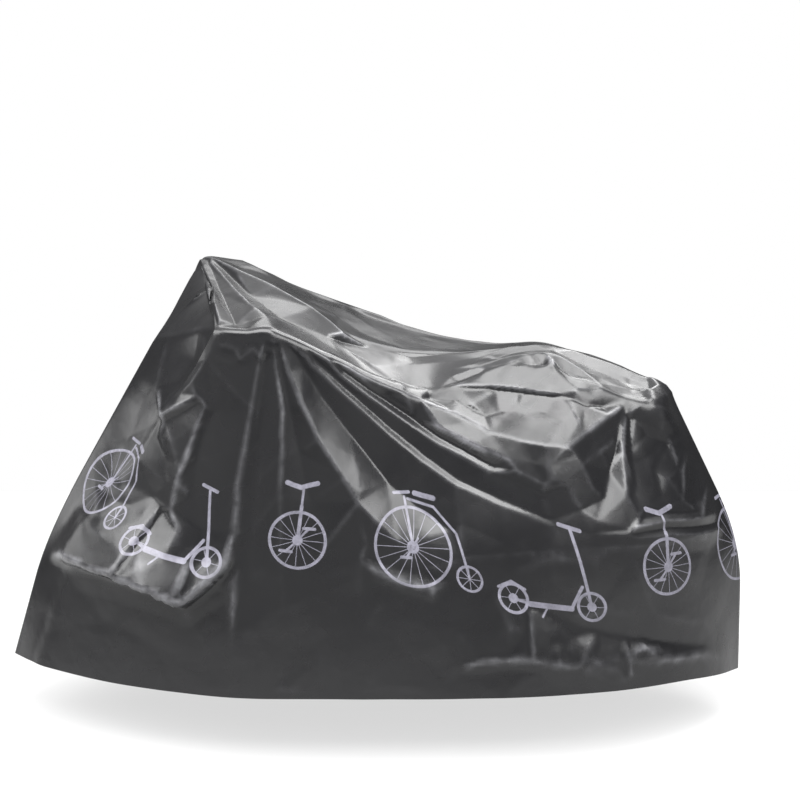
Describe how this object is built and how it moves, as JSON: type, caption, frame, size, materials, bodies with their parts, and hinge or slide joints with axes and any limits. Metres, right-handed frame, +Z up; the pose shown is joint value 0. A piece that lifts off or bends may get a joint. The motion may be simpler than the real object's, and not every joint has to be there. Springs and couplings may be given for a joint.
{
  "type": "bicycle cover",
  "caption": "Thin film cover in the shape it takes over an upright bicycle: peaked at the handlebar, lower at the saddle, folded down its sides and open at the hem.",
  "frame": {"origin": "on the underside of the cover's top, where a saddle holds it up", "axes": "+Z up, +X along the bicycle towards its rear wheel, -Y the near side of the picture"},
  "size_m": [1.739, 0.6925, 0.9501],
  "materials": {
    "film": "glossy black film with fine creases and a pale printed row of bicycles"
  },
  "bodies": {
    "root": {"cover": "film"}
  },
  "joints": []
}
